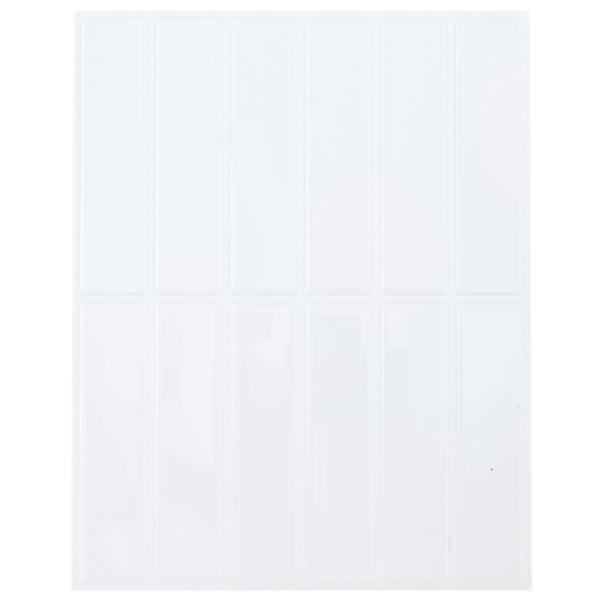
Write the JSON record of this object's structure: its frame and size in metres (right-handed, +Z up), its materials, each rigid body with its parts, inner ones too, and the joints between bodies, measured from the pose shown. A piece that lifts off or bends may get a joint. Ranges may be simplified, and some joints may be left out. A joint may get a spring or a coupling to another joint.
{
  "type": "self-adhesive wall tile sheet",
  "caption": "Thin flexible self-adhesive wall covering sheet with raised glossy white rectangular tiles in a straight stack and bare white joints between them.",
  "frame": {"origin": "middle of the sheet's underside, as it lies face up on a level floor", "axes": "+X across the tile columns (the picture's right), +Y along the tiles (the picture's top), +Z up out of the tile faces"},
  "size_m": [0.241, 0.3048, 0.002],
  "materials": {
    "gloss_resin": "gloss",
    "printed_film": "satin",
    "liner_paper": "matt"
  },
  "bodies": {
    "root": {"release_liner": "liner_paper", "printed_film": "printed_film", "resin_tile_r1_c1": "gloss_resin", "resin_tile_r1_c2": "gloss_resin", "resin_tile_r1_c3": "gloss_resin", "resin_tile_r1_c4": "gloss_resin", "resin_tile_r1_c5": "gloss_resin", "resin_tile_r1_c6": "gloss_resin", "resin_tile_r2_c1": "gloss_resin", "resin_tile_r2_c2": "gloss_resin", "resin_tile_r2_c3": "gloss_resin", "resin_tile_r2_c4": "gloss_resin", "resin_tile_r2_c5": "gloss_resin", "resin_tile_r2_c6": "gloss_resin"}
  },
  "joints": []
}
